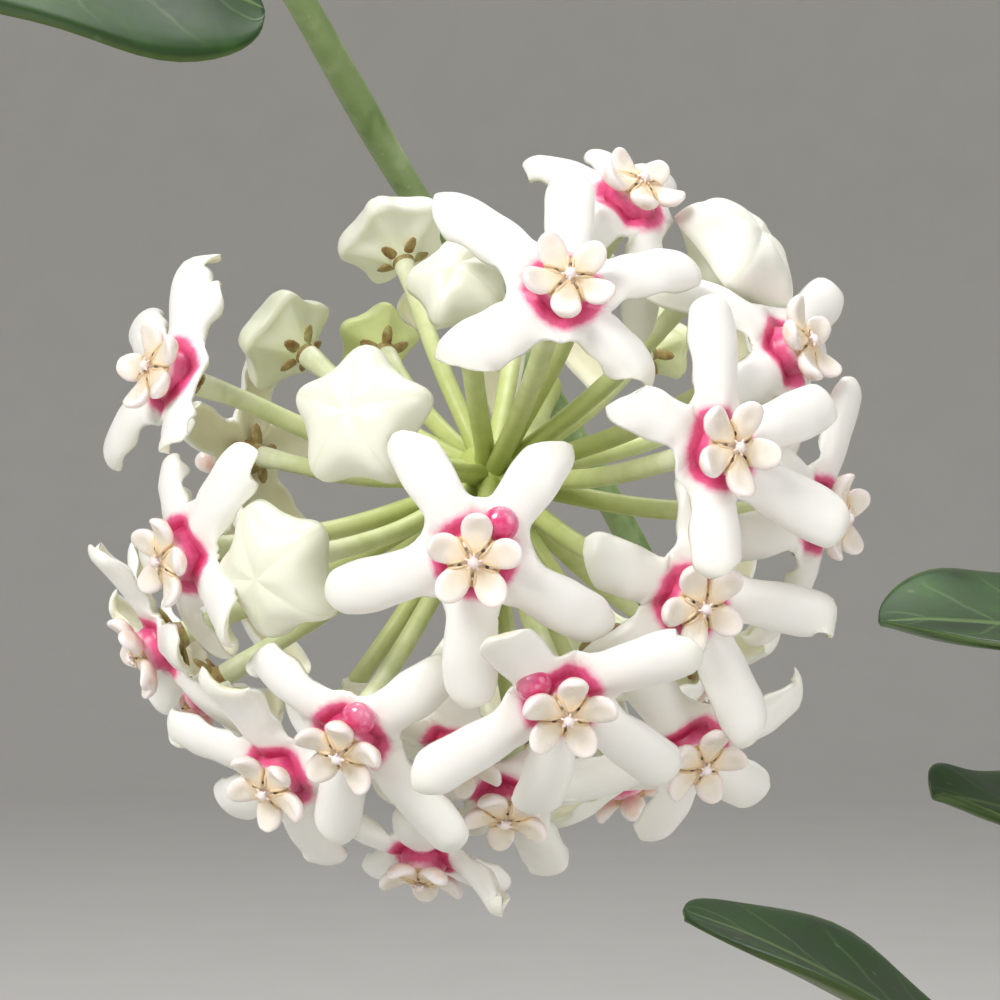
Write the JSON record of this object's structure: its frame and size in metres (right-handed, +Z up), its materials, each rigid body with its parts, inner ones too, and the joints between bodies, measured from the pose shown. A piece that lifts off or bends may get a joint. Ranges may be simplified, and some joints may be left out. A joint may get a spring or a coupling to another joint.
{
  "type": "potted hoya australis tenuipes",
  "caption": "Climbing wax plant in a plain terracotta pot, with fleshy rounded leaves and one ball-shaped umbel of waxy white star flowers and buds on long stalks.",
  "frame": {"origin": "centre of the flat underside of the pot", "axes": "+Z up, the umbel faces -Y, +X to the right of someone facing the umbel"},
  "size_m": [0.289, 0.261, 0.3934],
  "materials": {
    "terracotta": "matte unglazed fired clay",
    "potting_soil": "moist crumbly potting soil",
    "vine_stem": "smooth green stem with a pale bloom",
    "umbel_stalk": "fleshy yellow-green stalk, satin",
    "flower": "waxy white, softly translucent, with a cream corona over pink spots",
    "bud": "waxy cream with a green tint",
    "leaf": "thick glossy dark green leaf with a paler underside"
  },
  "bodies": {
    "root": {"pot": "terracotta", "soil": "potting_soil", "vine_flowering": "vine_stem", "vine_right": "vine_stem", "vine_back": "vine_stem", "vine_front": "vine_stem", "umbel_stalks": "umbel_stalk", "bloom_front": "flower", "bloom_top": "flower", "bloom_right": "flower", "bloom_low": "flower", "bloom_low_left": "flower", "bloom_low_right": "flower", "bloom_right_high": "flower", "bloom_far_right": "flower", "bloom_top_right": "flower", "bloom_right_low": "flower", "bloom_low_behind": "flower", "bloom_left_low": "flower", "bloom_far_left": "flower", "bloom_left_high": "flower", "bloom_left": "flower", "bloom_bottom": "flower", "bloom_bottom_left": "flower", "bloom_inner_low": "flower", "bloom_back_bottom": "flower", "bloom_back_left_high": "flower", "bloom_back_left": "flower", "bloom_back_left_low": "flower", "bloom_back_top": "flower", "bloom_back_right": "flower", "bloom_back_low_right": "flower", "bud_front": "bud", "bud_left": "bud", "bud_top_right": "bud", "bud_top_left": "bud", "bud_top": "bud", "bud_back_left": "bud", "bud_back": "bud", "bud_back_right": "bud", "bud_back_low": "bud", "leaf_flowering_top": "leaf", "leaf_flowering_high": "leaf", "leaf_flowering_mid": "leaf", "leaf_flowering_mid_back": "leaf", "leaf_flowering_low": "leaf", "leaf_right_low": "leaf", "leaf_right_low_outer": "leaf", "leaf_right_mid": "leaf", "leaf_right_mid_outer": "leaf", "leaf_right_high": "leaf", "leaf_right_high_outer": "leaf", "leaf_right_upper": "leaf", "leaf_right_top": "leaf", "leaf_back_low": "leaf", "leaf_back_mid": "leaf", "leaf_back_end": "leaf", "leaf_front_low": "leaf", "leaf_front_mid": "leaf", "leaf_front_end": "leaf"}
  },
  "joints": []
}
